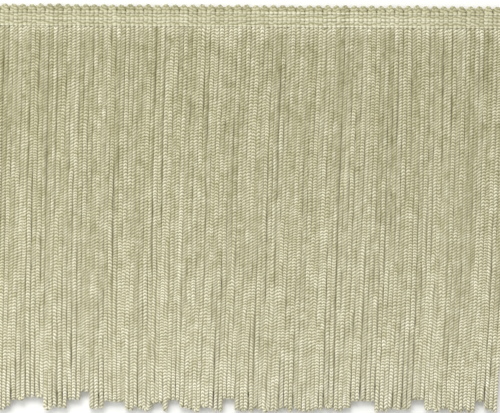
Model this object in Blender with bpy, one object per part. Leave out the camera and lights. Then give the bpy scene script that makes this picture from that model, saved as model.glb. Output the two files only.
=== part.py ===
"""Chainette fringe trim: a cut length of looped fringe on a knitted heading, lying on its back.

X runs along the heading, +Y from the loops up to the picots, +Z out of the surface it lies on.
The origin is on the flat back of the heading, halfway along it. Lengths are in metres.
"""

import math
import random
from collections import namedtuple

import bmesh
import bpy

MM = 0.001

# Driving dimensions
PICOTS = 58
PICOT_PITCH = 3.35 * MM
TRIM_DEPTH = 152.4 * MM
TRIM_LENGTH = PICOTS * PICOT_PITCH
SEWING_GAP = 0.3 * MM

# Heading: a knitted band with three raised chain lines and a scalloped upper edge
BAND_DEPTH = 6.6 * MM
PICOT_HEIGHT = 1.3 * MM
BAND_EDGE_THICKNESS = 1.9 * MM
BAND_GROOVE_THICKNESS = 2.2 * MM
CHAIN_LINE_THICKNESS = 2.7 * MM
CHAIN_LINE_WIDTH = 0.7 * MM
CHAIN_LINES_Y = (2.0 * MM, -0.45 * MM, -2.7 * MM)
ON_SIDE = 0.01 * MM

# A picot's sections: how far up it, in shares of its height, its width, and its back and front in z
PicotSection = namedtuple("PicotSection", "share_up width back front")
PICOT_SECTIONS = (
    PicotSection(0.6, 2.7 * MM, 0.2 * MM, 1.7 * MM),
    PicotSection(1.0, 1.3 * MM, 0.5 * MM, 1.4 * MM),
)

# Fringe: two ranks of chainette legs, one on the other, two legs of the front rank to a picot
STRANDS = 2 * PICOTS
STRAND_PITCH = TRIM_LENGTH / STRANDS
STRAND_WIDTH = 1.15 * MM
STRAND_CROWN_WIDTH = 0.65 * MM
STRAND_THICKNESS = 1.4 * MM
ROOT_STRIP_DEPTH = 1.0 * MM
ROOT_TAPER = 1.5 * MM
TIP_TAPER = 0.8 * MM
TIP_SHARE = 0.55
RANK_GAP = 0.3 * MM

# How unevenly the loops end
LOOP_SPREAD = 1.6 * MM
SHORT_LOOP_REACH = 1.3 * STRAND_PITCH
LOOP_SEED = 11

# Bunching: the legs lie closer together and further apart in slow waves
BUNCH_SHIFT = 0.22 * MM
BUNCH_LENGTH = 14.5 * MM
BUNCH_TURNS = 0.8

HEADING_TOP = BAND_DEPTH / 2 + PICOT_HEIGHT
STRIP_TOP = -BAND_DEPTH / 2 - SEWING_GAP
STRIP_BOTTOM = STRIP_TOP - ROOT_STRIP_DEPTH
FRINGE_END = HEADING_TOP - TRIM_DEPTH
STRAND_LENGTH = STRIP_BOTTOM - FRINGE_END

# Sideways shift of the legs below a place along the heading, in mm, at each third of their length
SWAY_STRETCHES = 3
Sway = namedtuple("Sway", "across at_third at_two_thirds at_end")
SWAYS = (
    Sway(-97, -0.8, -1.5, -2.0),
    Sway(-50, -0.6, -1.0, -0.6),
    Sway(-10, -1.4, -2.0, -3.4),
    Sway(30, -1.6, -3.0, -4.0),
    Sway(65, -0.3, -1.2, -3.0),
    Sway(97, -0.9, -2.0, -4.6),
)

# Loops that end well above the rest: where along the fringe's lower edge, and by how much, in mm
ShortLoop = namedtuple("ShortLoop", "across shorter")
SHORT_LOOPS = (
    ShortLoop(-86.5, 3.9),
    ShortLoop(-81.0, 4.9),
    ShortLoop(-65.5, 4.0),
    ShortLoop(-61.0, 7.0),
    ShortLoop(-52.5, 3.5),
    ShortLoop(-48.5, 3.3),
    ShortLoop(-34.5, 3.0),
    ShortLoop(-28.0, 4.0),
    ShortLoop(-8.0, 4.6),
    ShortLoop(39.5, 4.0),
    ShortLoop(44.0, 4.1),
    ShortLoop(63.0, 4.7),
    ShortLoop(86.5, 4.2),
)

# The back rank has one leg fewer, so that its legs lie behind the gaps of the front rank.
# bends are the shares of its length at which a leg has a section.
Rank = namedtuple("Rank", "name legs base_z bends seed")
RANKS = (
    Rank("fringe_back", STRANDS - 1, 0.0, (0.5,), LOOP_SEED),
    Rank("fringe_front", STRANDS, STRAND_THICKNESS + RANK_GAP, (0.25, 0.5, 0.75), LOOP_SEED + 1),
)

RAYON_COLOUR = (0.54, 0.50, 0.32, 1.0)
HEADING_COLOUR = (0.56, 0.52, 0.35, 1.0)
RAYON_ROUGHNESS = 0.55


def clear_scene():
    for obj in list(bpy.data.objects):
        bpy.data.objects.remove(obj, do_unlink=True)


def yarn_material(name, colour):
    material = bpy.data.materials.new(name)
    material.use_nodes = True
    shader = material.node_tree.nodes["Principled BSDF"]
    shader.inputs["Base Color"].default_value = colour
    shader.inputs["Roughness"].default_value = RAYON_ROUGHNESS
    shader.inputs["Metallic"].default_value = 0.0
    return material


def add_object(name, bm, material):
    bmesh.ops.recalc_face_normals(bm, faces=bm.faces)
    mesh = bpy.data.meshes.new(name)
    bm.to_mesh(mesh)
    bm.free()
    mesh.materials.append(material)
    obj = bpy.data.objects.new(name, mesh)
    bpy.context.scene.collection.objects.link(obj)
    return obj


def catmull_rom(before, start, end, after, t):
    """The smooth curve from start to end at t, with the two values beyond them."""
    slope_in = (end - before) / 2
    slope_out = (after - start) / 2
    square, cube = t * t, t * t * t
    return (
        start * (2 * cube - 3 * square + 1)
        + slope_in * (cube - 2 * square + t)
        + end * (3 * square - 2 * cube)
        + slope_out * (cube - square)
    )


def along_leg(sway, share):
    """A table row's shift in metres, at a share of the leg's length."""
    knots = (0.0, 0.0, sway.at_third, sway.at_two_thirds, sway.at_end, sway.at_end)
    stretch = min(int(share * SWAY_STRETCHES), SWAY_STRETCHES - 1)
    t = share * SWAY_STRETCHES - stretch
    return catmull_rom(*knots[stretch : stretch + 4], t) * MM


def sway_at(across, share):
    """How far sideways a leg that hangs at this place along the heading lies, at a share of its length."""
    shifts = [along_leg(row, share) for row in SWAYS]
    for i in range(len(SWAYS) - 1):
        left, right = SWAYS[i].across * MM, SWAYS[i + 1].across * MM
        if across <= right or i == len(SWAYS) - 2:
            blend = (across - left) / (right - left)
            shift = shifts[i] + (shifts[i + 1] - shifts[i]) * blend
            break
    wave = math.sin(2 * math.pi * (across / BUNCH_LENGTH + BUNCH_TURNS * share))
    return shift + BUNCH_SHIFT * share * (2 - share) * wave


def loop_shortness(across, rng):
    """How far above the longest loops the one at this place ends."""
    shortness = LOOP_SPREAD * rng.random()
    for loop in SHORT_LOOPS:
        if abs(across - loop.across * MM) < SHORT_LOOP_REACH:
            shortness = max(shortness, loop.shorter * MM)
    return shortness


def leg_place(rank, i):
    """Where along the heading a rank's leg hangs. Each rank is centred on the heading."""
    return (i - (rank.legs - 1) / 2) * STRAND_PITCH


def leg_lengths(rank):
    """Each leg's length. Two neighbours that make one loop have the same."""
    rng = random.Random(rank.seed)
    lengths = []
    for i in range(rank.legs):
        if i % 2 == 1 or i == 0:
            across = leg_place(rank, i)
            loop_middle = across + sway_at(across, 1.0) + STRAND_PITCH / 2
            length = STRAND_LENGTH - loop_shortness(loop_middle, rng)
        lengths.append(length)
    return lengths


def move_ring(face, centre_x, y, width, crown_width, low_z, high_z):
    """Puts a leg's newest section, a four-cornered face, in its place."""
    corners = sorted(face.verts, key=lambda vert: vert.co.z)
    for pair, half, z in ((corners[:2], width / 2, low_z), (corners[2:], crown_width / 2, high_z)):
        left, right = sorted(pair, key=lambda vert: vert.co.x)
        left.co = (centre_x - half, y, z)
        right.co = (centre_x + half, y, z)


def grow_leg(bm, face, across, length, rank):
    """Draws one leg out of its face of the root strip, down to its rounded end."""
    sections = [(ROOT_TAPER, 1.0)]
    sections += [(length * bend, 1.0) for bend in rank.bends]
    sections += [(length - TIP_TAPER, 1.0), (length, TIP_SHARE)]
    for distance, fullness in sections:
        grown = bmesh.ops.extrude_discrete_faces(bm, faces=[face])
        face = grown["faces"][0]
        centre_x = across + sway_at(across, distance / STRAND_LENGTH)
        move_ring(
            face,
            centre_x,
            STRIP_BOTTOM - distance,
            STRAND_WIDTH * fullness,
            STRAND_CROWN_WIDTH * fullness,
            rank.base_z,
            rank.base_z + STRAND_THICKNESS * fullness,
        )


def ribbed_bar(bm, outline, columns, step):
    """Extrudes an outline of (y, z) corners along the heading, centred on it, in equal columns."""
    verts = [bm.verts.new((-columns * step / 2, y, z)) for y, z in outline]
    face = bm.faces.new(verts)
    for column in range(columns):
        grown = bmesh.ops.extrude_face_region(bm, geom=[face])
        if column > 0:
            bmesh.ops.delete(bm, geom=[face], context="FACES_ONLY")
        face = next(item for item in grown["geom"] if isinstance(item, bmesh.types.BMFace))
        bmesh.ops.translate(bm, verts=face.verts, vec=(step, 0, 0))
    bmesh.ops.recalc_face_normals(bm, faces=bm.faces)


def side_faces(bm, y):
    """The faces that stand on the side at this y, from left to right."""
    found = [face for face in bm.faces if all(abs(vert.co.y - y) < ON_SIDE for vert in face.verts)]
    return sorted(found, key=lambda face: face.calc_center_median().x)


def fringe_rank(rank, material):
    """One rank of legs, fused at their roots into a narrow strip below the heading."""
    bm = bmesh.new()
    top_z = rank.base_z + STRAND_THICKNESS
    outline = (
        (STRIP_TOP, rank.base_z),
        (STRIP_TOP, top_z),
        (STRIP_BOTTOM, top_z),
        (STRIP_BOTTOM, rank.base_z),
    )
    ribbed_bar(bm, outline, rank.legs, STRAND_PITCH)
    lengths = leg_lengths(rank)
    for i, face in enumerate(side_faces(bm, STRIP_BOTTOM)):
        grow_leg(bm, face, leg_place(rank, i), lengths[i], rank)
    return add_object(rank.name, bm, material)


def heading_outline():
    """The band's section: a flat back, and chain lines that stand out of the front."""
    outline = [(BAND_DEPTH / 2, 0.0), (BAND_DEPTH / 2, BAND_EDGE_THICKNESS)]
    half = CHAIN_LINE_WIDTH / 2
    for i, y in enumerate(CHAIN_LINES_Y):
        if i > 0:
            outline.append(((y + CHAIN_LINES_Y[i - 1]) / 2, BAND_GROOVE_THICKNESS))
        outline.append((y + half, CHAIN_LINE_THICKNESS))
        outline.append((y - half, CHAIN_LINE_THICKNESS))
    outline.append((-BAND_DEPTH / 2, BAND_EDGE_THICKNESS))
    outline.append((-BAND_DEPTH / 2, 0.0))
    return outline


def heading(material):
    """The knitted heading, with its picots drawn out of the upper edge."""
    bm = bmesh.new()
    ribbed_bar(bm, heading_outline(), PICOTS, PICOT_PITCH)
    edge = BAND_DEPTH / 2
    for i, face in enumerate(side_faces(bm, edge)):
        across = (i - (PICOTS - 1) / 2) * PICOT_PITCH
        for section in PICOT_SECTIONS:
            face = bmesh.ops.extrude_discrete_faces(bm, faces=[face])["faces"][0]
            y = edge + section.share_up * PICOT_HEIGHT
            move_ring(face, across, y, section.width, section.width, section.back, section.front)
    return add_object("heading", bm, material)


def main():
    clear_scene()
    rayon = yarn_material("chainette_yarn", RAYON_COLOUR)
    heading(yarn_material("heading_yarn", HEADING_COLOUR))
    for rank in RANKS:
        fringe_rank(rank, rayon)


main()
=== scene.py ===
"""Looks of a cut length of chainette fringe, built around its fixed solids.

Each chainette is a knitted cord. It hangs as a loop from the heading, runs up through it and turns
over at a picot. X runs along the heading, +Y from the loops to the picots and +Z out of the surface.
"""

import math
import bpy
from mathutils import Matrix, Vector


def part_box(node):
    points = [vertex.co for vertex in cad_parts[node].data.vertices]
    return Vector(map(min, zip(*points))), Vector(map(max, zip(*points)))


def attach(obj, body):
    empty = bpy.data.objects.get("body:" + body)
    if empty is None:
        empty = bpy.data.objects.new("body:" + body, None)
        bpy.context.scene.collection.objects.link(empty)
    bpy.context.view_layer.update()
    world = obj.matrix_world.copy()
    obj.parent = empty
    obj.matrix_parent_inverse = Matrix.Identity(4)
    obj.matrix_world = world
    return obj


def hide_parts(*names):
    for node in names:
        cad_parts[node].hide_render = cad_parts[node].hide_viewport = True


bl_info = {
    "name": "Chainette Fringe",
    "version": (1, 0, 0),
    "blender": (4, 5, 0),
    "location": "3D View > Sidebar > Fringe",
    "description": "Builds a looped chainette fringe with a picot heading, lying on a pale floor",
    "category": "Add Mesh",
}

from collections import namedtuple

import bmesh
import bpy
import numpy as np
from mathutils import Vector

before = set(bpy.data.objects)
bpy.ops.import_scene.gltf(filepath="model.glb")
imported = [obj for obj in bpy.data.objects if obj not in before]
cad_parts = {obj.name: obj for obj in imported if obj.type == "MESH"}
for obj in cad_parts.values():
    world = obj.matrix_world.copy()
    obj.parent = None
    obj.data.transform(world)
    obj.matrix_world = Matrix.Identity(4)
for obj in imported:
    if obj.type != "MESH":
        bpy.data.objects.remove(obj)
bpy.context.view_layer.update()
HEADING_LOW, HEADING_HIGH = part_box("heading")
FRONT_LOW, FRONT_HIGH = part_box("fringe_front")

MM = 0.001

# Places taken from the solids
PICOTS = 58
TRIM_LENGTH = HEADING_HIGH.x - HEADING_LOW.x
PICOT_PITCH = TRIM_LENGTH / PICOTS
FRONT_LEGS = 2 * PICOTS
BACK_LEGS = FRONT_LEGS - 1
LEG_PITCH = TRIM_LENGTH / FRONT_LEGS
STRIP_BOTTOM = FRONT_HIGH.y - 1.0 * MM
FRINGE_END = FRONT_LOW.y
LEG_LENGTH = STRIP_BOTTOM - FRINGE_END

# Sideways lie of the legs, as in the solids
BUNCH_SHIFT = 0.22 * MM
BUNCH_LENGTH = 14.5 * MM
BUNCH_TURNS = 0.8
LOOP_SPREAD = 1.6 * MM
SHORT_LOOP_REACH = 1.3 * LEG_PITCH

# Sideways shift of the legs below a place along the heading, in mm, at each third of their length
SWAY_STRETCHES = 3
Sway = namedtuple("Sway", "across at_third at_two_thirds at_end")
SWAYS = (
    Sway(-97, -0.8, -1.5, -2.0),
    Sway(-50, -0.6, -1.0, -0.6),
    Sway(-10, -1.4, -2.0, -3.4),
    Sway(30, -1.6, -3.0, -4.0),
    Sway(65, -0.3, -1.2, -3.0),
    Sway(97, -0.9, -2.0, -4.6),
)

# Loops that end well above the rest: where along the fringe's lower edge, and by how much, in mm
ShortLoop = namedtuple("ShortLoop", "across shorter")
SHORT_LOOPS = (
    ShortLoop(-86.5, 3.9),
    ShortLoop(-81.0, 4.9),
    ShortLoop(-65.5, 4.0),
    ShortLoop(-61.0, 7.0),
    ShortLoop(-52.5, 3.5),
    ShortLoop(-48.5, 3.3),
    ShortLoop(-34.5, 3.0),
    ShortLoop(-28.0, 4.0),
    ShortLoop(-8.0, 4.6),
    ShortLoop(39.5, 4.0),
    ShortLoop(44.0, 4.1),
    ShortLoop(63.0, 4.7),
    ShortLoop(86.5, 4.2),
)

# The two ranks: how high the middle of the cord lies in the fringe and in the heading
FRONT_Z = 2.1 * MM
BACK_Z = 1.3 * MM
HEADING_FRONT_Z = 1.72 * MM
HEADING_BACK_Z = 1.15 * MM
LEG_TOP = -2.7 * MM
LEG_TOP_SPREAD = 0.2 * MM
RISE_END = -5.0 * MM

# How the legs wander beside each other
LEVELS = 180
LEAST_GAP = 1.56 * MM
PUSH_ROUNDS = 80
PUSH_SHARE = 0.25
ROOT_HOLD = 30 * MM
WAVE_STRETCH = (0.75, 1.3)
WAVE_STRENGTH = (0.3, 1.0)
WANDER = 0.17 * MM
WANDER_LENGTHS = (26 * MM, 60 * MM, 120 * MM)
LIFT = 0.13 * MM
LIFT_LENGTHS = (9 * MM, 24 * MM)
WANDER_SEED = 5

# Loops
STITCHES_PER_LOOP = 256
FRONT_SHARE_STITCHES = 132
STRETCH = 0.07
STRETCH_KNOT = 42
UNDER_SHARE = 0.7
TUCK_LENGTH = 8 * MM
TUCK_ASIDE_MM = 0.5
TURN_POINTS = 13
TURN_DEPTH = 1.15
LEG_POINTS = 90
LOOP_SEED = 11
PIECES_OF_FRONT = 4
PIECES_OF_BACK = 2

# A stitch, ring by ring: how full the cord is in the groove between its two arms, on an arm, round
# its side and at its back, and how far the yarn stands out of the hollow there, which sets how much
# of the painted shade in the hollows its colour takes
Ring = namedtuple("Ring", "groove arm side flank back crest")
SECTION_ANGLES = np.radians((0, 30, 75, 130, 180))
FINE_STITCH = (
    Ring(0.44, 0.76, 0.74, 0.76, 0.70, 0.0),
    Ring(0.84, 1.00, 0.96, 1.00, 0.96, 1.0),
    Ring(0.74, 0.95, 0.90, 0.94, 0.88, 0.55),
)
PLAIN_STITCH = (
    Ring(0.68, 0.74, 0.80, 0.78, 0.74, 0.1),
    Ring(0.88, 1.00, 1.00, 0.98, 0.97, 0.9),
)
HEADING_STITCH = (
    Ring(0.84, 0.90, 0.88, 0.84, 0.80, 0.0),
    Ring(0.94, 1.00, 0.98, 1.00, 0.96, 1.0),
    Ring(0.88, 0.97, 0.95, 0.94, 0.88, 0.6),
)
THREAD_STITCH = (
    Ring(0.44, 0.46, 0.50, 0.46, 0.46, 0.2),
    Ring(0.94, 0.97, 0.97, 0.97, 0.97, 1.0),
    Ring(0.96, 1.00, 1.00, 1.00, 1.00, 1.0),
    Ring(0.72, 0.76, 0.80, 0.76, 0.76, 0.5),
)
# Round a cord, at the same angles: how light its yarn is, darkened with painted shade in the groove
# between its arms, round its sides where its neighbours press on it and at its back; how much of a
# stitch's painted light and dark is evened out; and how closely its points crowd on its face
Around = namedtuple("Around", "light evened crowding")
TWO_ARMED = Around((0.8, 1.0, 0.6, 0.95, 0.7), (0.0, 0.25, 0.15, 0.3, 0.2), 0.5)
CLOSE_SET = Around((0.92, 1.0, 0.8, 0.9, 0.8), (0.0, 0.0, 0.1, 0.3, 0.2), 0.5)
ALL_ALIKE = Around((1.0,) * 5, (0.0,) * 5, 0.0)
# The kinds of cord: the corners of its section, and by how many stitches its yarn slants from the
# middle of its face to its back
Kind = namedtuple("Kind", "sides profile around slant")
SLANT = 1.5
HEADING_SLANT = 0.9
FRONT_CORD = Kind(7, FINE_STITCH, TWO_ARMED, SLANT)
BACK_CORD = Kind(4, PLAIN_STITCH, ALL_ALIKE, SLANT)
HEADING_CORD = Kind(8, HEADING_STITCH, CLOSE_SET, HEADING_SLANT)
HEADING_BACK_CORD = Kind(5, PLAIN_STITCH, ALL_ALIKE, HEADING_SLANT)
THREAD = Kind(8, THREAD_STITCH, ALL_ALIKE, 0.3)
BACK_THREAD = Kind(5, PLAIN_STITCH, ALL_ALIKE, SLANT)
EVEN_CREST = 0.7
SQUARENESS = 0.86
SIDE_RELIEF = 0.5

# How the stitches of a loop twist; how light they are, in random streaks and flecks, with painted
# light near their roots, towards their turn and tips and in the back rank; and how full they are
TWIST_AT_ROOT = -0.7
TWIST_REACH = 1.6
TWIST_SPREAD_AT_ROOT = 0.5
TWIST_SPREAD_AT_TURN = 0.6
TWIST_KNOT = 30
TWITCH = 0.3
TWITCH_KNOT = 4
JITTER = 0.18
SHADE_KNOT = 50
SHADE_AT_TURN = 0.1
SHADE_AT_ROOT = 0.75
FLECK_KNOT = 3
FLECKS = 0.5
STITCH_FLECKS = 0.7
BULK_SPREAD = 0.03
BACK_BULK = 0.2
# Painted light that lifts the back rank's yarn out of the shade it lies in under the front legs
BACK_PAINTED_LIGHT = 1.0
# Painted light: the loops lighter towards their turns and at their tips, and near their roots, which lie
# in the shade under the heading's last chain line
ENDS_PAINTED_LIGHT = 2.0
ROOT_PAINTED_LIGHT = 1.9
TIP_PAINTED_LIGHT = 1.1
PALE_TIP_REACH = 0.115
ROOT_REACH = 3.5
TIP_SLIMMING = 0.13
TIP_REACH = 12

# The heading's chainettes, in front and behind: how many there are, how high they lie, how far they
# end below the picots' tips, and how closely the two legs of each come together under its turn
HairpinRow = namedtuple("HairpinRow", "count z lower pinch kind seed")
HAIRPIN_ROWS = (
    HairpinRow(PICOTS, HEADING_FRONT_Z, 0.05 * MM, 0.35, HEADING_CORD, 21),
    HairpinRow(PICOTS - 1, HEADING_BACK_Z, 0.85 * MM, 0.0, HEADING_BACK_CORD, 22),
)
HAIRPIN_STITCHES = 16
HAIRPIN_POINTS = 14
HAIRPIN_BOTTOM = -5.0 * MM
HAIRPIN_SINK = 0.3 * MM
HAIRPIN_SINK_FROM = -2.1 * MM
HAIRPIN_SINK_LENGTH = 1.0 * MM
SHOULDER_DEPTH = 1.5 * MM
PINCH_LENGTH = 2.0 * MM
PICOT_ASIDE_MM = 0.04
PICOT_RISE_MM = 0.1
PICOT_SLIMMING = 0.45
# Painted shade that darkens each picot at its turn
PICOT_PAINTED_SHADE = -2.2
PICOT_REACH = 2.4
HEADING_BULK = 1.13
HEADING_TURN = 0.25
HEADING_TWIST = 0.2
HEADING_TWIST_KNOT = 8
HEADING_TONE = 0.5
HEADING_FLECKS = 0.4
HEADING_FLECK_KNOT = 4
FIRST_STITCH = 0.5
FIRST_STITCH_SPREAD = 0.35

# Chain lines across the heading
CHAIN_LINES_Y = (1.88 * MM, -0.62 * MM, -2.97 * MM)
THREAD_POINTS = 8
THREAD_RISE = 0.76 * MM
THREAD_DIP = 0.06 * MM
THREAD_WAVES = (7 * MM, 23 * MM)
THREAD_WANDER = 0.07 * MM
THREAD_TWIST = 0.2
THREAD_TWIST_KNOT = 9
THREAD_SHADE_KNOT = 12
THREAD_FLECKS = 0.5
THREAD_FLECK_KNOT = 2
THREAD_SEED = 31

# Yarn: its surface, and how uneven its colour is in patches and from stitch to stitch
YARN_SURFACE = {
    "Roughness": 0.48,
    "Specular IOR Level": 0.42,
    "Sheen Weight": 0.12,
    "Sheen Roughness": 0.5,
}
UNEVENNESS = 0.1
PATCH_FINENESS = 300.0
PATCH_DETAIL = 3.0
PATCH_ROUGHNESS = 0.65
PATCHINESS = 1.4
DEEPER_WHERE_DARK = -0.8
FILAMENTS_ALONG = 9.0
FILAMENT_DETAIL = 3.0
FILAMENT_FINENESS = 1.6
FILAMENT_RELIEF = 0.05 * MM
FILAMENT_STRENGTH = 0.5

# Stage
FLOOR_REACH = 2.0
FLOOR_ROUGHNESS = 0.9
ROOM_LIGHT = 0.605
# Soft lamps: where each one hangs, its two sides in metres, and its power in watts
Lamp = namedtuple("Lamp", "name place sides power")
LAMPS = (
    Lamp("window", (-0.6, 2.1, 1.9), (2.0, 1.2), 57.0),
    Lamp("left_lamp", (-0.45, -0.07, 0.35), (0.4, 0.4), 0.75),
)
CAMERA_LENS = 120.0
SENSOR_WIDTH = 36.0
PHOTO_WIDTH = 187.0 * MM
PHOTO_MIDDLE = (0.0, -70.4 * MM)
CAMERA_ROLL = math.radians(0.36)
CORD_MIDDLE_Z = 2.0 * MM


def metres(name, description, default):
    return bpy.props.FloatProperty(
        name=name, description=description, default=default, unit="LENGTH", subtype="DISTANCE", precision=5
    )


def colour(name, description, default):
    return bpy.props.FloatVectorProperty(
        name=name, description=description, default=default, size=3, min=0.0, max=1.0, subtype="COLOR"
    )


class FringeSizes(bpy.types.PropertyGroup):
    cord_width: metres("Chainette width", "Width of a chainette as it lies", 2.0 * MM)
    cord_thickness: metres("Chainette thickness", "Thickness of a chainette as it lies", 1.5 * MM)
    picot_top: metres("Picot top", "Height in Y of the tips of the picots", HEADING_HIGH.y)
    thread_width: metres("Chain line width", "Width of the heading's chain lines", 0.82 * MM)
    thread_thickness: metres("Chain line thickness", "Thickness of the heading's chain lines", 0.28 * MM)


class FringeColours(bpy.types.PropertyGroup):
    crest: colour("Yarn", "Colour of the yarn where it stands out", (0.757, 0.721, 0.494))
    # Painted shade: the hollow colours darken the yarn between its stitches, mixed in where the crest mask
    # is low
    hollow_painted_shade: colour("Yarn in the hollows", "Colour of the yarn between the stitches", (0.238, 0.218, 0.096))
    heading_crest: colour("Heading yarn", "Colour of the heading's yarn", (0.682, 0.657, 0.461))
    # Painted shade between the heading's stitches, which the chain lines share
    heading_hollow_painted_shade: colour("Heading hollows", "Colour between the heading's stitches", (0.35, 0.33, 0.175))
    thread: colour("Chain lines", "Colour of the chain lines where they stand out", (0.68, 0.655, 0.463))
    floor: colour("Floor", "Colour of the floor", (0.96, 0.96, 0.94))


def link_mesh(name, bm):
    mesh = bpy.data.meshes.new(name)
    bm.to_mesh(mesh)
    bm.free()
    obj = bpy.data.objects.new(name, mesh)
    bpy.context.scene.collection.objects.link(obj)
    return obj


# The lie of the legs


def catmull_rom(before, start, end, after, t):
    """The smooth curve from start to end at t, with the two values beyond them."""
    slope_in = (end - before) / 2
    slope_out = (after - start) / 2
    square, cube = t * t, t * t * t
    return (
        start * (2 * cube - 3 * square + 1)
        + slope_in * (cube - 2 * square + t)
        + end * (3 * square - 2 * cube)
        + slope_out * (cube - square)
    )


def along_leg(sway, share):
    """A table row's shift in metres, at shares of the leg's length."""
    knots = np.array((0.0, 0.0, sway.at_third, sway.at_two_thirds, sway.at_end, sway.at_end))
    stretch = np.minimum((share * SWAY_STRETCHES).astype(int), SWAY_STRETCHES - 1)
    t = share * SWAY_STRETCHES - stretch
    return catmull_rom(knots[stretch], knots[stretch + 1], knots[stretch + 2], knots[stretch + 3], t) * MM


def sway_at(across, share):
    """How far sideways each leg lies at each share of its length, a row for a leg."""
    rows = np.array([along_leg(row, share) for row in SWAYS])
    places = [row.across * MM for row in SWAYS]
    shift = np.array([np.interp(across, places, column) for column in rows.T]).T
    wave = np.sin(2 * math.pi * (across[:, None] / BUNCH_LENGTH + BUNCH_TURNS * share))
    return shift + BUNCH_SHIFT * share * (2 - share) * wave


def slow_waves(rng, legs, y, lengths, size):
    """Waves of its own for each leg, a row for a leg."""
    total = np.zeros((legs, len(y)))
    for length in lengths:
        own = length * rng.uniform(*WAVE_STRETCH, (legs, 1))
        phase = rng.uniform(0, 2 * math.pi, (legs, 1))
        total += np.sin(2 * math.pi * y / own + phase) * rng.uniform(*WAVE_STRENGTH, (legs, 1))
    return total * size / math.sqrt(len(lengths))


def push_apart(x, least):
    """Legs that lie too close push each other aside."""
    for _ in range(PUSH_ROUNDS):
        push = np.maximum(least - np.diff(x, axis=0), 0) * PUSH_SHARE
        x[:-1] -= push
        x[1:] += push
    return x


def smooth_step(t):
    """From nought to one, with a gentle start and end."""
    t = np.clip(t, 0, 1)
    return t * t * (3 - 2 * t)


def bell(t):
    """One at nought, falling away smoothly on both sides."""
    return np.exp(-(t**2))


class Rank:
    """Where the legs of one rank lie, read at any height."""

    def __init__(self, legs, z, top_z, seed):
        rng = np.random.default_rng(seed)
        self.places = (np.arange(legs) - (legs - 1) / 2) * LEG_PITCH
        self.y = np.linspace(FRINGE_END, LEG_TOP, LEVELS)
        share = np.clip((STRIP_BOTTOM - self.y) / LEG_LENGTH, 0, 1)
        freedom = smooth_step((STRIP_BOTTOM - self.y) / ROOT_HOLD)
        wander = slow_waves(rng, legs, self.y, WANDER_LENGTHS, WANDER) * freedom
        x = self.places[:, None] + sway_at(self.places, share) + wander
        self.x = push_apart(x, LEAST_GAP)
        lift = slow_waves(rng, legs, self.y, LIFT_LENGTHS, LIFT) * freedom
        sunk = (z - top_z) * smooth_step((self.y - RISE_END) / (LEG_TOP - RISE_END))
        self.z = z + lift - sunk

    def leg(self, i, y):
        """The leg's middle line at heights y, as rows of x, y, z."""
        return np.array((np.interp(y, self.y, self.x[i]), y, np.interp(y, self.y, self.z[i]))).T


def loop_ends(rng, x):
    """How far above the longest loops each one ends."""
    shorter = LOOP_SPREAD * rng.random(len(x))
    for loop in SHORT_LOOPS:
        near = np.abs(x - loop.across * MM) < SHORT_LOOP_REACH
        shorter[near] = np.maximum(shorter[near], loop.shorter * MM)
    return FRINGE_END + shorter


# The cord


def chainette_blank(stitches, sides, rings):
    """A straight tube of unit size with its rings a unit apart, which every cord is laid from."""
    steps = stitches * rings
    bm = bmesh.new()
    bmesh.ops.create_cone(bm, cap_ends=True, segments=sides, radius1=1.0, radius2=1.0, depth=steps)
    bmesh.ops.translate(bm, verts=bm.verts, vec=(0, 0, steps / 2))
    long_edges = [e for e in bm.edges if abs(e.verts[0].co.z - e.verts[1].co.z) > steps / 2]
    bmesh.ops.subdivide_edges(bm, edges=long_edges, cuts=steps - 1, use_grid_fill=True)
    bmesh.ops.recalc_face_normals(bm, faces=bm.faces)
    for face in bm.faces:
        face.smooth = len(face.verts) == 4
    mesh = bpy.data.meshes.new("chainette_blank")
    bm.to_mesh(mesh)
    bm.free()
    return mesh


def points_of(mesh):
    co = np.zeros(len(mesh.vertices) * 3, np.float32)
    mesh.vertices.foreach_get("co", co)
    return co.reshape(-1, 3).astype(float)


# A run of stitches along a path: for each one its place as a share of the path, the turn of its face,
# how light its yarn is and how full the cord is there
Run = namedtuple("Run", "path place twist shade bulk")
Laid = namedtuple("Laid", "cord points shade")


class Cord:
    """A length of one kind of cord: its blank, and how its stitches stand out."""

    def __init__(self, stitches, kind):
        profile, around = kind.profile, kind.around
        self.stitches = stitches
        self.slant = kind.slant
        self.blank = chainette_blank(stitches, kind.sides, len(profile))
        co = points_of(self.blank)
        ring = np.rint(co[:, 2]).astype(int)
        self.angle = np.arctan2(-co[:, 0], co[:, 1])
        self.angle -= around.crowding * np.sin(self.angle)
        self.stitch = ring / len(profile)
        in_stitch = ring % len(profile)
        away = np.abs(self.angle)
        self.fullness = np.zeros(len(co))
        self.crest = np.zeros(len(co))
        for step, row in enumerate(profile):
            chosen = in_stitch == step
            self.fullness[chosen] = np.interp(away[chosen], SECTION_ANGLES, row[:-1])
            self.crest[chosen] = row.crest
        # Painted shade round the cord's groove, sides and back, and evening out of the stitches' painted
        # light and dark
        evened = np.interp(away, SECTION_ANGLES, around.evened)
        light = np.interp(away, SECTION_ANGLES, around.light)
        self.crest = (self.crest + (EVEN_CREST - self.crest) * evened) * light

    def lay(self, run, start, width, thickness):
        """The cord laid along a run of stitches, from one of its stitches on."""
        slanted = np.clip(self.stitch + self.slant * np.abs(self.angle) / math.pi, 0, self.stitches)
        at = start + slanted
        every = np.arange(len(run.place))
        middle, side, up = run.path.read(np.interp(at, every, run.place))
        turned = self.angle + np.interp(at, every, run.twist)
        across, out = np.sin(turned), np.cos(turned)
        beside = 1 - (1 - self.fullness) * SIDE_RELIEF
        bulk = np.interp(at, every, run.bulk)
        across = np.sign(across) * np.abs(across) ** SQUARENESS * beside * bulk * width / 2
        out = np.sign(out) * np.abs(out) ** SQUARENESS * self.fullness * bulk * thickness / 2
        points = middle + side * across[:, None] + up * out[:, None]
        points[:, 2] = np.maximum(points[:, 2], 0)
        return Laid(self, points, np.interp(at, every, run.shade))


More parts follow.
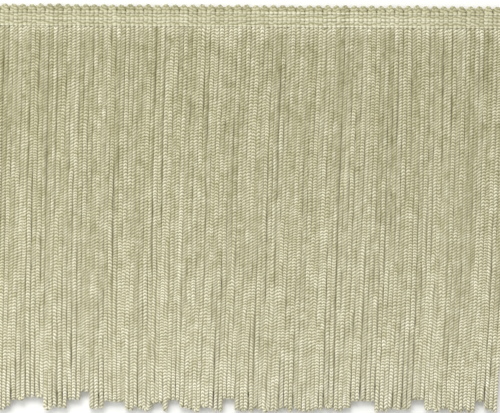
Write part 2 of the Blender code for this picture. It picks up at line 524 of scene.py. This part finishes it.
class Path:
    """A middle line with its frames, read by its share of the length."""

    def __init__(self, points):
        steps = np.linalg.norm(np.diff(points, axis=0), axis=1)
        self.share = np.concatenate(((0,), np.cumsum(steps)))
        self.length = self.share[-1]
        self.share /= self.length
        self.points = points
        tangent = np.gradient(points, self.share, axis=0)
        tangent /= np.linalg.norm(tangent, axis=1)[:, None]
        ups = np.zeros_like(points)
        up = np.array((0.0, 0.0, 1.0))
        for i, along in enumerate(tangent):
            up = up - along * (up @ along)
            up /= np.linalg.norm(up)
            ups[i] = up
        self.ups = ups
        self.sides = np.cross(tangent, ups)

    def read(self, share):
        def columns(table):
            return np.array([np.interp(share, self.share, table[:, i]) for i in range(3)]).T

        return columns(self.points), columns(self.sides), columns(self.ups)


def turn_between(end_a, end_b, down, depth):
    """The points of a rounded turn from the end of one leg to the end of the other."""
    middle, half = (end_a + end_b) / 2, (end_a - end_b) / 2
    angles = np.linspace(0, math.pi, TURN_POINTS + 2)[1:-1, None]
    return middle + half * np.cos(angles) + np.array((0, down * depth, 0)) * np.sin(angles)


def slow_drift(rng, total, knot):
    """A value for each stitch that drifts slowly about nought, with a new height every few stitches."""
    heights = rng.normal(0, 1, total // knot + 3)
    at = np.arange(total + 1) / knot + rng.random()
    before = at.astype(int)
    blend = smooth_step(at - before)
    return heights[before] * (1 - blend) + heights[before + 1] * blend


def uneven_places(rng, total):
    """Where each stitch of a run lies, as a share of the path: a little closer or further apart."""
    step = 1 + STRETCH * slow_drift(rng, total, STRETCH_KNOT)[1:] + JITTER * rng.uniform(-1, 1, total)
    step[: total // 2] /= step[: total // 2].sum()
    step[total // 2 :] /= step[total // 2 :].sum()
    return np.concatenate(((0,), np.cumsum(step) / 2))


def even_places(total):
    return np.linspace(0, 1, total + 1)


def join_cords(name, laid):
    """One mesh from many laid cords."""
    bm = bmesh.new()
    for item in laid:
        bm.from_mesh(item.cord.blank)
    obj = link_mesh(name, bm)
    mesh = obj.data
    points = np.concatenate([item.points for item in laid])
    mesh.vertices.foreach_set("co", points.astype(np.float32).ravel())
    crest = np.concatenate([item.cord.crest for item in laid])
    shade = np.concatenate([item.shade for item in laid])
    for label, values in (("crest", crest), ("shade", shade)):
        attribute = mesh.attributes.new(label, "FLOAT", "POINT")
        attribute.data.foreach_set("value", values.astype(np.float32))
    lay_stitch_map(mesh, laid)
    mesh.update()
    return obj


def lay_stitch_map(mesh, laid):
    """A UV map that runs round the cord in U and along its stitches in V."""
    angle = np.concatenate([item.cord.angle for item in laid])
    stitch = np.concatenate([item.cord.stitch for item in laid])
    corner = np.zeros(len(mesh.loops), np.int32)
    mesh.loops.foreach_get("vertex_index", corner)
    u = angle[corner] / (2 * math.pi)
    starts = np.zeros(len(mesh.polygons), np.int32)
    mesh.polygons.foreach_get("loop_start", starts)
    most = np.maximum.reduceat(u, starts)
    sizes = np.diff(np.append(starts, len(corner)))
    wrapped = (np.repeat(most, sizes) - u) > 0.5
    u = np.where(wrapped, u + 1, u)
    layer = mesh.uv_layers.new(name="stitches")
    layer.data.foreach_set("uv", np.stack((u, stitch[corner]), 1).astype(np.float32).ravel())


# Materials


def new_group(name, inputs, outputs):
    group = bpy.data.node_groups.new(name, "ShaderNodeTree")
    for kind, label, default in inputs:
        socket = group.interface.new_socket(name=label, in_out="INPUT", socket_type=kind)
        if default is not None:
            socket.default_value = default
    for kind, label in outputs:
        group.interface.new_socket(name=label, in_out="OUTPUT", socket_type=kind)
    return group, group.nodes.new("NodeGroupInput"), group.nodes.new("NodeGroupOutput")


def math_node(group, operation, *values):
    """The result of a math node that takes numbers or other nodes' results."""
    node = group.nodes.new("ShaderNodeMath")
    node.operation = operation
    for socket, value in zip(node.inputs, values):
        if isinstance(value, bpy.types.NodeSocket):
            group.links.new(value, socket)
        else:
            socket.default_value = value
    return node.outputs[0]


def yarn_tone_group():
    """The yarn's colour: darker and deeper in the hollows with painted shade, a little different in each
    cord, and with the painted light and shade that the shade attribute carries.
    """
    group, taken, given = new_group(
        "Yarn tone",
        (
            ("NodeSocketColor", "Crest Colour", None),
            ("NodeSocketColor", "Hollow Colour", None),
            ("NodeSocketFloat", "Crest", 1.0),
            ("NodeSocketFloat", "Shade", 0.0),
            ("NodeSocketVector", "Place", None),
            ("NodeSocketFloat", "Unevenness", UNEVENNESS),
        ),
        (("NodeSocketColor", "Colour"),),
    )
    nodes, links = group.nodes, group.links
    ramp = nodes.new("ShaderNodeMapRange")
    ramp.interpolation_type = "SMOOTHSTEP"
    links.new(taken.outputs["Crest"], ramp.inputs["Value"])
    # Painted shade: the hollow colour is mixed in where the crest mask is low
    mix = nodes.new("ShaderNodeMix")
    mix.data_type = "RGBA"
    links.new(ramp.outputs["Result"], mix.inputs["Factor"])
    links.new(taken.outputs["Hollow Colour"], mix.inputs["A"])
    links.new(taken.outputs["Crest Colour"], mix.inputs["B"])
    patches = nodes.new("ShaderNodeTexNoise")
    patches.inputs["Scale"].default_value = PATCH_FINENESS
    patches.inputs["Detail"].default_value = PATCH_DETAIL
    patches.inputs["Roughness"].default_value = PATCH_ROUGHNESS
    links.new(taken.outputs["Place"], patches.inputs["Vector"])
    centred = nodes.new("ShaderNodeMapRange")
    centred.inputs["To Min"].default_value = -PATCHINESS
    centred.inputs["To Max"].default_value = PATCHINESS
    links.new(patches.outputs["Fac"], centred.inputs["Value"])
    summed = math_node(group, "ADD", centred.outputs[0], taken.outputs["Shade"])
    scaled = math_node(group, "MULTIPLY", summed, taken.outputs["Unevenness"])
    value = math_node(group, "ADD", scaled, 1.0)
    depth = math_node(group, "MULTIPLY_ADD", scaled, DEEPER_WHERE_DARK, 1.0)
    tone = nodes.new("ShaderNodeHueSaturation")
    links.new(value, tone.inputs["Value"])
    links.new(depth, tone.inputs["Saturation"])
    links.new(mix.outputs["Result"], tone.inputs["Color"])
    links.new(tone.outputs["Color"], given.inputs["Colour"])
    return group


def filament_group():
    """The filaments of the yarn: fine lines that follow the slant of the stitches."""
    group, taken, given = new_group(
        "Filaments",
        (("NodeSocketVector", "Stitch Map", None), ("NodeSocketFloat", "Fineness", 1.0)),
        (("NodeSocketFloat", "Height"),),
    )
    nodes, links = group.nodes, group.links
    split = nodes.new("ShaderNodeSeparateXYZ")
    links.new(taken.outputs["Stitch Map"], split.inputs[0])
    fold = math_node(group, "ABSOLUTE", split.outputs["X"])
    slope = math_node(group, "MULTIPLY", fold, 2 * SLANT)
    along = math_node(group, "SUBTRACT", split.outputs["Y"], slope)
    fine = math_node(group, "MULTIPLY", along, FILAMENTS_ALONG)
    merged = nodes.new("ShaderNodeCombineXYZ")
    links.new(split.outputs["X"], merged.inputs["X"])
    links.new(fine, merged.inputs["Y"])
    lines = nodes.new("ShaderNodeTexNoise")
    lines.inputs["Detail"].default_value = FILAMENT_DETAIL
    links.new(merged.outputs[0], lines.inputs["Vector"])
    links.new(taken.outputs["Fineness"], lines.inputs["Scale"])
    links.new(lines.outputs["Fac"], given.inputs["Height"])
    return group


def group_named(name, build):
    return bpy.data.node_groups.get(name) or build()


def yarn_material(name, crest, painted_shade_colour):
    """Lustrous rayon yarn, knitted."""
    material = bpy.data.materials.new(name)
    material.use_nodes = True
    nodes, links = material.node_tree.nodes, material.node_tree.links
    shader = nodes["Principled BSDF"]
    for label, value in YARN_SURFACE.items():
        shader.inputs[label].default_value = value
    place = nodes.new("ShaderNodeTexCoord")
    stitch_map = nodes.new("ShaderNodeUVMap")
    stitch_map.uv_map = "stitches"
    tone = nodes.new("ShaderNodeGroup")
    tone.node_tree = group_named("Yarn tone", yarn_tone_group)
    tone.inputs["Crest Colour"].default_value = (*crest, 1.0)
    tone.inputs["Hollow Colour"].default_value = (*painted_shade_colour, 1.0)
    tone.inputs["Unevenness"].default_value = UNEVENNESS
    for label in ("crest", "shade"):
        attribute = nodes.new("ShaderNodeAttribute")
        attribute.attribute_name = label
        links.new(attribute.outputs["Fac"], tone.inputs[label.capitalize()])
    links.new(place.outputs["Object"], tone.inputs["Place"])
    links.new(tone.outputs["Colour"], shader.inputs["Base Color"])
    filaments = nodes.new("ShaderNodeGroup")
    filaments.node_tree = group_named("Filaments", filament_group)
    filaments.inputs["Fineness"].default_value = FILAMENT_FINENESS
    links.new(stitch_map.outputs["UV"], filaments.inputs["Stitch Map"])
    bump = nodes.new("ShaderNodeBump")
    bump.inputs["Strength"].default_value = FILAMENT_STRENGTH
    bump.inputs["Distance"].default_value = FILAMENT_RELIEF
    links.new(filaments.outputs["Height"], bump.inputs["Height"])
    links.new(bump.outputs["Normal"], shader.inputs["Normal"])
    return material


def fringe_yarn():
    """The fringe's yarn, which both of its ranks share."""
    tones = bpy.context.scene.fringe_colours
    known = bpy.data.materials.get("knitted_chainette")
    return known or yarn_material("knitted_chainette", tones.crest, tones.hollow_painted_shade)


# The pieces


def loop_run(rng, path, a_behind, b_behind):
    """The stitches of one loop: how each one twists, how light it is, with painted light near its roots,
    towards its turn and tips and in the back rank, and how full it is.
    """
    total = STITCHES_PER_LOOP
    past_turn = np.arange(total + 1) - total / 2
    from_turn = np.abs(np.arange(total + 1) * 2 / total - 1)
    from_root = (1 - from_turn) * total / 2
    up = smooth_step(from_turn)
    spread = TWIST_SPREAD_AT_TURN + (TWIST_SPREAD_AT_ROOT - TWIST_SPREAD_AT_TURN) * up
    twist = TWIST_AT_ROOT * smooth_step(from_turn * TWIST_REACH)
    twist += slow_drift(rng, total, TWIST_KNOT) * spread
    twist += TWITCH * slow_drift(rng, total, TWITCH_KNOT)
    streak = SHADE_AT_TURN + (SHADE_AT_ROOT - SHADE_AT_TURN) * up
    shade = streak * slow_drift(rng, total, SHADE_KNOT)
    shade += FLECKS * slow_drift(rng, total, FLECK_KNOT)
    # Random flecks, then painted light towards the turn, near the roots and at the tips
    shade += STITCH_FLECKS * rng.normal(0, 1, total + 1) + ENDS_PAINTED_LIGHT * (1 - up)
    shade += ROOT_PAINTED_LIGHT * bell(from_root / ROOT_REACH)
    shade += TIP_PAINTED_LIGHT * bell(from_turn / PALE_TIP_REACH)
    bulk = 1 + BULK_SPREAD * slow_drift(rng, total, SHADE_KNOT)
    bulk -= TIP_SLIMMING * bell(past_turn / TIP_REACH)
    past = smooth_step((past_turn - TIP_REACH) / TIP_REACH)
    under = past * b_behind + past[::-1] * a_behind
    bulk += BACK_BULK * under
    # Painted light on the yarn of the back rank
    shade += BACK_PAINTED_LIGHT * under
    return Run(path, uneven_places(rng, total), twist, shade, bulk)


def hang_loops():
    """Every loop of the fringe: its run of stitches, and which of its legs lie in front."""
    rng = np.random.default_rng(LOOP_SEED)
    sizes = bpy.context.scene.fringe_sizes
    front = Rank(FRONT_LEGS, FRONT_Z, HEADING_FRONT_Z, WANDER_SEED)
    back = Rank(BACK_LEGS, BACK_Z, HEADING_BACK_Z, WANDER_SEED + 1)
    foot = front.x[:, 0]
    ends = loop_ends(rng, foot) + sizes.cord_width / 2
    loops = []

    def hang(rank_a, a, rank_b, b, end):
        over = rank_a is front and rank_b is back
        half = (FRONT_Z - BACK_Z) / 2 if over else LEG_PITCH / 2
        turn = end + half * TURN_DEPTH
        y = np.linspace(LEG_TOP + LEG_TOP_SPREAD * rng.uniform(-1, 1), turn, LEG_POINTS)
        leg_a = rank_a.leg(a, y)
        leg_b = rank_b.leg(b, y)
        if over:
            tuck = smooth_step(1 - (y - turn) / TUCK_LENGTH)
            aside = rng.uniform(-TUCK_ASIDE_MM, TUCK_ASIDE_MM) * MM
            leg_b[:, 0] += (leg_a[:, 0] + aside - leg_b[:, 0]) * tuck
        bend = turn_between(leg_a[-1], leg_b[-1], -1, half * TURN_DEPTH)
        path = Path(np.concatenate((leg_a, bend, leg_b[::-1])))
        run = loop_run(rng, path, rank_a is back, rank_b is back)
        loops.append((run, rank_a is front, rank_b is front))

    hang(front, 0, back, 0, ends[0])
    hang(front, FRONT_LEGS - 1, back, BACK_LEGS - 1, ends[-1])
    for i in range(1, FRONT_LEGS - 1, 2):
        if rng.random() < UNDER_SHARE:
            hang(front, i, back, i, ends[i])
            hang(front, i + 1, back, i + 1, ends[i + 1])
        else:
            hang(front, i, front, i + 1, ends[i])
            hang(back, i, back, i + 1, ends[i] + LOOP_SPREAD * rng.random())
    return loops


def build_fringe(front):
    """The front or the back half of every loop, laid in finer or plainer cord."""
    sizes = bpy.context.scene.fringe_sizes
    kind = FRONT_CORD if front else BACK_CORD
    whole = Cord(STITCHES_PER_LOOP, kind)
    first = 0 if front else FRONT_SHARE_STITCHES
    part = Cord(FRONT_SHARE_STITCHES if front else STITCHES_PER_LOOP - first, kind)
    laid = []
    for run, a_front, b_front in hang_loops():
        if a_front != b_front:
            cord, start = part, first
        elif a_front == front:
            cord, start = whole, 0
        else:
            continue
        laid.append(cord.lay(run, start, sizes.cord_width, sizes.cord_thickness))
    return sorted(laid, key=lambda item: item.points[:, 0].mean())


def place_pieces(name, laid, pieces, node, material):
    """The laid cords, in order, as a number of pieces that stand for a node of the solids."""
    for number in range(pieces):
        share = laid[number * len(laid) // pieces : (number + 1) * len(laid) // pieces]
        obj = join_cords(f"{name}_{number + 1}", share)
        obj.data.materials.append(material)
        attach(obj, "root")
        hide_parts(node)


class FRINGE_OT_front_chainettes(bpy.types.Operator):
    """Lay the front rank of looped chainettes"""

    bl_idname = "fringe.front_chainettes"
    bl_label = "Front chainettes"

    def execute(self, context):
        laid, yarn = build_fringe(True), fringe_yarn()
        place_pieces("front_chainettes", laid, PIECES_OF_FRONT, "fringe_front", yarn)
        return {"FINISHED"}


class FRINGE_OT_back_chainettes(bpy.types.Operator):
    """Lay the back rank of looped chainettes"""

    bl_idname = "fringe.back_chainettes"
    bl_label = "Back chainettes"

    def execute(self, context):
        laid, yarn = build_fringe(False), fringe_yarn()
        place_pieces("back_chainettes", laid, PIECES_OF_BACK, "fringe_back", yarn)
        return {"FINISHED"}


def hairpin(a, b, row, top):
    """The path of a chainette that runs up through the heading, turns over at its top and runs down."""
    shoulder = top - SHOULDER_DEPTH
    y = np.linspace(HAIRPIN_BOTTOM, shoulder, HAIRPIN_POINTS)
    close = smooth_step((y - (shoulder - PINCH_LENGTH)) / PINCH_LENGTH) * row.pinch
    middle = (a + b) / 2
    z = row.z - HAIRPIN_SINK * smooth_step((HAIRPIN_SINK_FROM - y) / HAIRPIN_SINK_LENGTH)
    leg_a = np.array((a + (middle - a) * close, y, z)).T
    leg_b = np.array((b + (middle - b) * close, y, z)).T
    bend = turn_between(leg_a[-1], leg_b[-1], 1, top - shoulder)
    return Path(np.concatenate((leg_a, bend, leg_b[::-1])))


def build_hairpins(row):
    """One row of the heading's chainettes, side by side."""
    rng = np.random.default_rng(row.seed)
    sizes = bpy.context.scene.fringe_sizes
    total = HAIRPIN_STITCHES
    cord = Cord(total - 1, row.kind)
    from_turn = (np.arange(total + 1) - total / 2) / PICOT_REACH
    bulk = HEADING_BULK - PICOT_SLIMMING * bell(2 * from_turn)
    laid = []
    for number in range(row.count):
        middle = (number - (row.count - 1) / 2) * PICOT_PITCH + rng.normal(0, PICOT_ASIDE_MM) * MM
        top = sizes.picot_top - row.lower + rng.normal(0, PICOT_RISE_MM) * MM
        path = hairpin(middle - LEG_PITCH / 2, middle + LEG_PITCH / 2, row, top)
        twist = rng.normal(0, HEADING_TURN) + HEADING_TWIST * slow_drift(rng, total, HEADING_TWIST_KNOT)
        shade = rng.normal(0, HEADING_TONE) + HEADING_FLECKS * slow_drift(rng, total, HEADING_FLECK_KNOT)
        # Painted shade at the picot's turn
        shade += PICOT_PAINTED_SHADE * bell(from_turn)
        run = Run(path, uneven_places(rng, total), twist, shade, bulk)
        start = FIRST_STITCH + rng.uniform(-FIRST_STITCH_SPREAD, FIRST_STITCH_SPREAD)
        laid.append(cord.lay(run, start, sizes.cord_width, sizes.cord_thickness))
    return laid


class FRINGE_OT_heading(bpy.types.Operator):
    """Lay the chainettes through the heading, with a picot at every turn"""

    bl_idname = "fringe.heading"
    bl_label = "Heading and picots"

    def execute(self, context):
        tones = context.scene.fringe_colours
        laid = [item for row in HAIRPIN_ROWS for item in build_hairpins(row)]
        yarn = yarn_material("knitted_heading", tones.heading_crest, tones.heading_hollow_painted_shade)
        place_pieces("picot_heading", laid, 1, "heading", yarn)
        return {"FINISHED"}


class FRINGE_OT_chain_lines(bpy.types.Operator):
    """Sew the chain lines across the heading"""

    bl_idname = "fringe.chain_lines"
    bl_label = "Chain lines"

    def execute(self, context):
        rng = np.random.default_rng(THREAD_SEED)
        sizes, tones = context.scene.fringe_sizes, context.scene.fringe_colours
        links = FRONT_LEGS
        places, level = even_places(links), np.ones(links + 1)
        fine, plain = Cord(links, THREAD), Cord(links, BACK_THREAD)
        laid = []
        x = np.linspace(HEADING_LOW.x, HEADING_HIGH.x, links * THREAD_POINTS + 1)
        over = np.cos(2 * math.pi * (x - HEADING_LOW.x) / LEG_PITCH)
        for y in CHAIN_LINES_Y:
            line_y = y + slow_waves(rng, 1, x, THREAD_WAVES, THREAD_WANDER)[0]
            z = HEADING_FRONT_Z + THREAD_RISE - THREAD_DIP * over
            path = Path(np.array((x, line_y, z)).T)
            twist = THREAD_TWIST * slow_drift(rng, links, THREAD_TWIST_KNOT)
            shade = slow_drift(rng, links, THREAD_SHADE_KNOT)
            shade += THREAD_FLECKS * slow_drift(rng, links, THREAD_FLECK_KNOT)
            run = Run(path, places, twist, shade, level)
            laid.append(fine.lay(run, 0, sizes.thread_width, sizes.thread_thickness))
        for y in CHAIN_LINES_Y:
            z = sizes.thread_thickness / 2
            path = Path(np.array((x, np.full(len(x), y), np.full(len(x), z))).T)
            run = Run(path, places, math.pi * level, 0 * level, level)
            laid.append(plain.lay(run, 0, sizes.thread_width, sizes.thread_thickness))
        yarn = yarn_material("chained_thread", tones.thread, tones.heading_hollow_painted_shade)
        place_pieces("chain_lines", laid, 1, "heading", yarn)
        return {"FINISHED"}


def area_light(lamp, target):
    data = bpy.data.lights.new(lamp.name, "AREA")
    data.shape = "RECTANGLE"
    data.size, data.size_y = lamp.sides
    data.energy = lamp.power
    obj = bpy.data.objects.new(lamp.name, data)
    obj.location = lamp.place
    obj.rotation_euler = (Vector(target) - Vector(lamp.place)).to_track_quat("-Z", "Y").to_euler()
    bpy.context.scene.collection.objects.link(obj)


class FRINGE_OT_stage(bpy.types.Operator):
    """Set the floor, the lights and the camera"""

    bl_idname = "fringe.stage"
    bl_label = "Stage"

    def execute(self, context):
        scene = context.scene
        bm = bmesh.new()
        bmesh.ops.create_grid(bm, x_segments=1, y_segments=1, size=FLOOR_REACH)
        floor = link_mesh("floor", bm)
        material = bpy.data.materials.new("floor_paper")
        material.use_nodes = True
        shader = material.node_tree.nodes["Principled BSDF"]
        shader.inputs["Base Color"].default_value = (*scene.fringe_colours.floor, 1.0)
        shader.inputs["Roughness"].default_value = FLOOR_ROUGHNESS
        floor.data.materials.append(material)

        world = bpy.data.worlds.new("studio")
        world.use_nodes = True
        background = world.node_tree.nodes["Background"]
        background.inputs["Color"].default_value = (1.0, 1.0, 1.0, 1.0)
        background.inputs["Strength"].default_value = ROOM_LIGHT
        scene.world = world
        for lamp in LAMPS:
            area_light(lamp, (*PHOTO_MIDDLE, 0.0))

        camera_data = bpy.data.cameras.new("camera")
        camera_data.lens = CAMERA_LENS
        camera_data.sensor_width = SENSOR_WIDTH
        camera = bpy.data.objects.new("camera", camera_data)
        height = CORD_MIDDLE_Z + PHOTO_WIDTH * CAMERA_LENS / SENSOR_WIDTH
        camera.location = (*PHOTO_MIDDLE, height)
        camera.rotation_euler = (0.0, 0.0, CAMERA_ROLL)
        scene.collection.objects.link(camera)
        scene.camera = camera
        scene.view_settings.view_transform = "Standard"
        return {"FINISHED"}


class FRINGE_PT_panel(bpy.types.Panel):
    """The fringe's sizes, colours and pieces"""

    bl_idname = "FRINGE_PT_panel"
    bl_label = "Chainette fringe"
    bl_space_type = "VIEW_3D"
    bl_region_type = "UI"
    bl_category = "Fringe"

    def draw(self, context):
        for settings in (context.scene.fringe_sizes, context.scene.fringe_colours):
            for name in settings.__annotations__:
                self.layout.prop(settings, name)
        for step in STEPS:
            self.layout.operator(step.bl_idname)


STEPS = (
    FRINGE_OT_stage,
    FRINGE_OT_heading,
    FRINGE_OT_chain_lines,
    FRINGE_OT_front_chainettes,
    FRINGE_OT_back_chainettes,
)
CLASSES = (FringeSizes, FringeColours, *STEPS, FRINGE_PT_panel)


def register():
    for cls in CLASSES:
        bpy.utils.register_class(cls)
    bpy.types.Scene.fringe_sizes = bpy.props.PointerProperty(type=FringeSizes)
    bpy.types.Scene.fringe_colours = bpy.props.PointerProperty(type=FringeColours)


def unregister():
    del bpy.types.Scene.fringe_colours
    del bpy.types.Scene.fringe_sizes
    for cls in reversed(CLASSES):
        bpy.utils.unregister_class(cls)


def main():
    register()
    bpy.ops.fringe.stage()
    bpy.ops.fringe.heading()
    bpy.ops.fringe.chain_lines()
    bpy.ops.fringe.front_chainettes()
    bpy.ops.fringe.back_chainettes()


if __name__ == "__main__":
    main()
